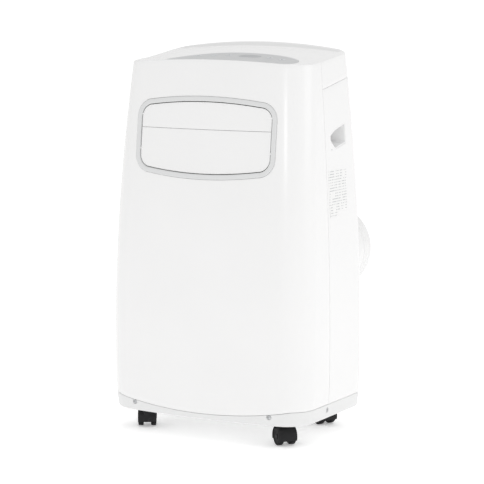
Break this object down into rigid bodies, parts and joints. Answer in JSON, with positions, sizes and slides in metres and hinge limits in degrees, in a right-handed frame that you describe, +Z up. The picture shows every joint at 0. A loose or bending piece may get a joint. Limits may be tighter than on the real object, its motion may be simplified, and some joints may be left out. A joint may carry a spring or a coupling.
{
  "type": "portable air conditioner",
  "caption": "Tall floor-standing room air conditioner on castors, with a flapped front outlet, dished control top, rear intakes and a round exhaust collar.",
  "frame": {"origin": "middle of the bounding box, exhaust collar included, at floor level", "axes": "+Z up, -Y is the front with the air outlet, +X to the right of someone facing the front"},
  "size_m": [0.432, 0.332, 0.7476],
  "materials": {
    "white_shell": "satin gloss",
    "light_trim": "fine matt",
    "grey_panel": "satin",
    "display_lens": "clear gloss",
    "dark_plastic": "matt",
    "castor_tread": "matt",
    "steel": "bright",
    "sheet_metal": "satin",
    "coil_fins": "bright",
    "compressor_paint": "satin",
    "copper": "bright"
  },
  "bodies": {
    "cabinet": {"base_tray": "white_shell", "front_panel": "white_shell", "rear_cover": "white_shell", "top_cover": "white_shell", "control_panel": "grey_panel", "display_window": "display_lens", "vent_frame": "light_trim", "air_duct": "dark_plastic", "exhaust_collar": "white_shell", "cord_gland": "dark_plastic", "grip_right": "white_shell", "grip_left": "white_shell", "screw_front_left": "steel", "screw_front_right": "steel", "screw_side_left": "steel", "screw_side_right": "steel", "deck": "sheet_metal", "evaporator": "coil_fins", "condenser": "coil_fins", "compressor": "compressor_paint", "suction_pipe": "copper", "room_fan_motor": "steel", "exhaust_fan_motor": "steel", "control_box": "sheet_metal"},
    "flap_upper": {"flap_upper": "white_shell"},
    "flap_lower": {"flap_lower": "white_shell"},
    "vane_1": {"vane_1": "light_trim"},
    "vane_2": {"vane_2": "light_trim"},
    "vane_3": {"vane_3": "light_trim"},
    "vane_4": {"vane_4": "light_trim"},
    "vane_5": {"vane_5": "light_trim"},
    "vane_link": {"vane_link": "dark_plastic"},
    "button_power": {"button_power": "light_trim"},
    "button_mode": {"button_mode": "light_trim"},
    "button_fan": {"button_fan": "light_trim"},
    "button_up": {"button_up": "light_trim"},
    "button_down": {"button_down": "light_trim"},
    "intake_upper": {"intake_upper": "light_trim"},
    "intake_lower": {"intake_lower": "light_trim"},
    "drain_cap_upper": {"drain_cap_upper": "grey_panel"},
    "drain_cap_lower": {"drain_cap_lower": "grey_panel"},
    "room_fan": {"room_fan": "dark_plastic"},
    "exhaust_fan": {"exhaust_fan": "dark_plastic"},
    "castor_front_left": {"castor_front_left_housing": "dark_plastic", "castor_front_left_axle": "steel"},
    "castor_front_left_wheel_left": {"castor_front_left_wheel_left": "castor_tread"},
    "castor_front_left_wheel_right": {"castor_front_left_wheel_right": "castor_tread"},
    "castor_front_right": {"castor_front_right_housing": "dark_plastic", "castor_front_right_axle": "steel"},
    "castor_front_right_wheel_left": {"castor_front_right_wheel_left": "castor_tread"},
    "castor_front_right_wheel_right": {"castor_front_right_wheel_right": "castor_tread"},
    "castor_back_left": {"castor_back_left_housing": "dark_plastic", "castor_back_left_axle": "steel"},
    "castor_back_left_wheel_left": {"castor_back_left_wheel_left": "castor_tread"},
    "castor_back_left_wheel_right": {"castor_back_left_wheel_right": "castor_tread"},
    "castor_back_right": {"castor_back_right_housing": "dark_plastic", "castor_back_right_axle": "steel"},
    "castor_back_right_wheel_left": {"castor_back_right_wheel_left": "castor_tread"},
    "castor_back_right_wheel_right": {"castor_back_right_wheel_right": "castor_tread"}
  },
  "joints": [
    {"name": "flap_lower_tilt", "type": "hinge", "parent": "cabinet", "child": "flap_lower", "pos_m": [0, -0.13555, 0.5486], "axis": [-1, 0, 0], "range_deg": [0, 60]},
    {"name": "flap_upper_tilt", "type": "hinge", "parent": "cabinet", "child": "flap_upper", "pos_m": [0, -0.12804, 0.6139], "axis": [-1, 0, 0], "range_deg": [0, 60]},
    {"name": "vane_1_turn", "type": "hinge", "parent": "cabinet", "child": "vane_1", "pos_m": [-0.092, -0.064, 0.5735], "axis": [0, 0, 1], "range_deg": [-25, 25]},
    {"name": "vane_2_turn", "type": "hinge", "parent": "cabinet", "child": "vane_2", "pos_m": [-0.046, -0.064, 0.5735], "axis": [0, 0, 1], "range_deg": [-25, 25]},
    {"name": "vane_3_turn", "type": "hinge", "parent": "cabinet", "child": "vane_3", "pos_m": [0, -0.064, 0.5735], "axis": [0, 0, 1], "range_deg": [-25, 25]},
    {"name": "vane_4_turn", "type": "hinge", "parent": "cabinet", "child": "vane_4", "pos_m": [0.046, -0.064, 0.5735], "axis": [0, 0, 1], "range_deg": [-25, 25]},
    {"name": "vane_5_turn", "type": "hinge", "parent": "cabinet", "child": "vane_5", "pos_m": [0.092, -0.064, 0.5735], "axis": [0, 0, 1], "range_deg": [-25, 25]},
    {"name": "vane_link_slide", "type": "slide", "parent": "cabinet", "child": "vane_link", "axis": [-1, 0, 0], "range_m": [-0.0096, 0.0096]},
    {"name": "button_power_press", "type": "slide", "parent": "cabinet", "child": "button_power", "axis": [0, 0, -1], "range_m": [0, 0.0008], "stiffness_N_per_m": 800},
    {"name": "button_mode_press", "type": "slide", "parent": "cabinet", "child": "button_mode", "axis": [0, 0, -1], "range_m": [0, 0.0008], "stiffness_N_per_m": 800},
    {"name": "button_fan_press", "type": "slide", "parent": "cabinet", "child": "button_fan", "axis": [0, 0, -1], "range_m": [0, 0.0008], "stiffness_N_per_m": 800},
    {"name": "button_up_press", "type": "slide", "parent": "cabinet", "child": "button_up", "axis": [0, 0, -1], "range_m": [0, 0.0008], "stiffness_N_per_m": 800},
    {"name": "button_down_press", "type": "slide", "parent": "cabinet", "child": "button_down", "axis": [0, 0, -1], "range_m": [0, 0.0008], "stiffness_N_per_m": 800},
    {"name": "intake_upper_slide", "type": "slide", "parent": "cabinet", "child": "intake_upper", "axis": [0, 1, 0], "range_m": [0, 0.06]},
    {"name": "intake_lower_slide", "type": "slide", "parent": "cabinet", "child": "intake_lower", "axis": [0, 1, 0], "range_m": [0, 0.06]},
    {"name": "drain_cap_upper_pull", "type": "slide", "parent": "cabinet", "child": "drain_cap_upper", "axis": [0, 1, 0], "range_m": [0, 0.03]},
    {"name": "drain_cap_lower_pull", "type": "slide", "parent": "cabinet", "child": "drain_cap_lower", "axis": [0, 1, 0], "range_m": [0, 0.03]},
    {"name": "room_fan_spin", "type": "hinge", "parent": "cabinet", "child": "room_fan", "pos_m": [0, 0.022, 0.57], "axis": [0, 1, 0], "continuous": true},
    {"name": "exhaust_fan_spin", "type": "hinge", "parent": "cabinet", "child": "exhaust_fan", "pos_m": [0.122, 0.055, 0.343], "axis": [0, 1, 0], "continuous": true},
    {"name": "castor_front_left_swivel", "type": "hinge", "parent": "cabinet", "child": "castor_front_left", "pos_m": [-0.15, -0.105, 0.036], "axis": [0, 0, 1], "continuous": true},
    {"name": "castor_front_left_wheel_left_roll", "type": "hinge", "parent": "castor_front_left", "child": "castor_front_left_wheel_left", "pos_m": [-0.15533, -0.09538, 0.017], "axis": [0.8746, 0.4848, 0], "continuous": true},
    {"name": "castor_front_left_wheel_right_roll", "type": "hinge", "parent": "castor_front_left", "child": "castor_front_left_wheel_right", "pos_m": [-0.15533, -0.09538, 0.017], "axis": [0.8746, 0.4848, 0], "continuous": true},
    {"name": "castor_front_right_swivel", "type": "hinge", "parent": "cabinet", "child": "castor_front_right", "pos_m": [0.15, -0.105, 0.036], "axis": [0, 0, 1], "continuous": true},
    {"name": "castor_front_right_wheel_left_roll", "type": "hinge", "parent": "castor_front_right", "child": "castor_front_right_wheel_left", "pos_m": [0.15855, -0.11192, 0.017], "axis": [-0.6293, -0.7771, 0], "continuous": true},
    {"name": "castor_front_right_wheel_right_roll", "type": "hinge", "parent": "castor_front_right", "child": "castor_front_right_wheel_right", "pos_m": [0.15855, -0.11192, 0.017], "axis": [-0.6293, -0.7771, 0], "continuous": true},
    {"name": "castor_back_left_swivel", "type": "hinge", "parent": "cabinet", "child": "castor_back_left", "pos_m": [-0.15, 0.082, 0.036], "axis": [0, 0, 1], "continuous": true},
    {"name": "castor_back_left_wheel_left_roll", "type": "hinge", "parent": "castor_back_left", "child": "castor_back_left_wheel_left", "pos_m": [-0.15229, 0.09276, 0.017], "axis": [0.9781, 0.2079, 0], "continuous": true},
    {"name": "castor_back_left_wheel_right_roll", "type": "hinge", "parent": "castor_back_left", "child": "castor_back_left_wheel_right", "pos_m": [-0.15229, 0.09276, 0.017], "axis": [0.9781, 0.2079, 0], "continuous": true},
    {"name": "castor_back_right_swivel", "type": "hinge", "parent": "cabinet", "child": "castor_back_right", "pos_m": [0.15, 0.082, 0.036], "axis": [0, 0, 1], "continuous": true},
    {"name": "castor_back_right_wheel_left_roll", "type": "hinge", "parent": "castor_back_right", "child": "castor_back_right_wheel_left", "pos_m": [0.14029, 0.08716, 0.017], "axis": [0.4695, 0.8829, 0], "continuous": true},
    {"name": "castor_back_right_wheel_right_roll", "type": "hinge", "parent": "castor_back_right", "child": "castor_back_right_wheel_right", "pos_m": [0.14029, 0.08716, 0.017], "axis": [0.4695, 0.8829, 0], "continuous": true}
  ],
  "couplings": [
    {"joint": "flap_upper_tilt", "follows": "flap_lower_tilt", "ratio": 1},
    {"joint": "vane_1_turn", "follows": "vane_link_slide", "rad_per_m": 45.455},
    {"joint": "vane_2_turn", "follows": "vane_link_slide", "rad_per_m": 45.455},
    {"joint": "vane_3_turn", "follows": "vane_link_slide", "rad_per_m": 45.455},
    {"joint": "vane_4_turn", "follows": "vane_link_slide", "rad_per_m": 45.455},
    {"joint": "vane_5_turn", "follows": "vane_link_slide", "rad_per_m": 45.455}
  ]
}
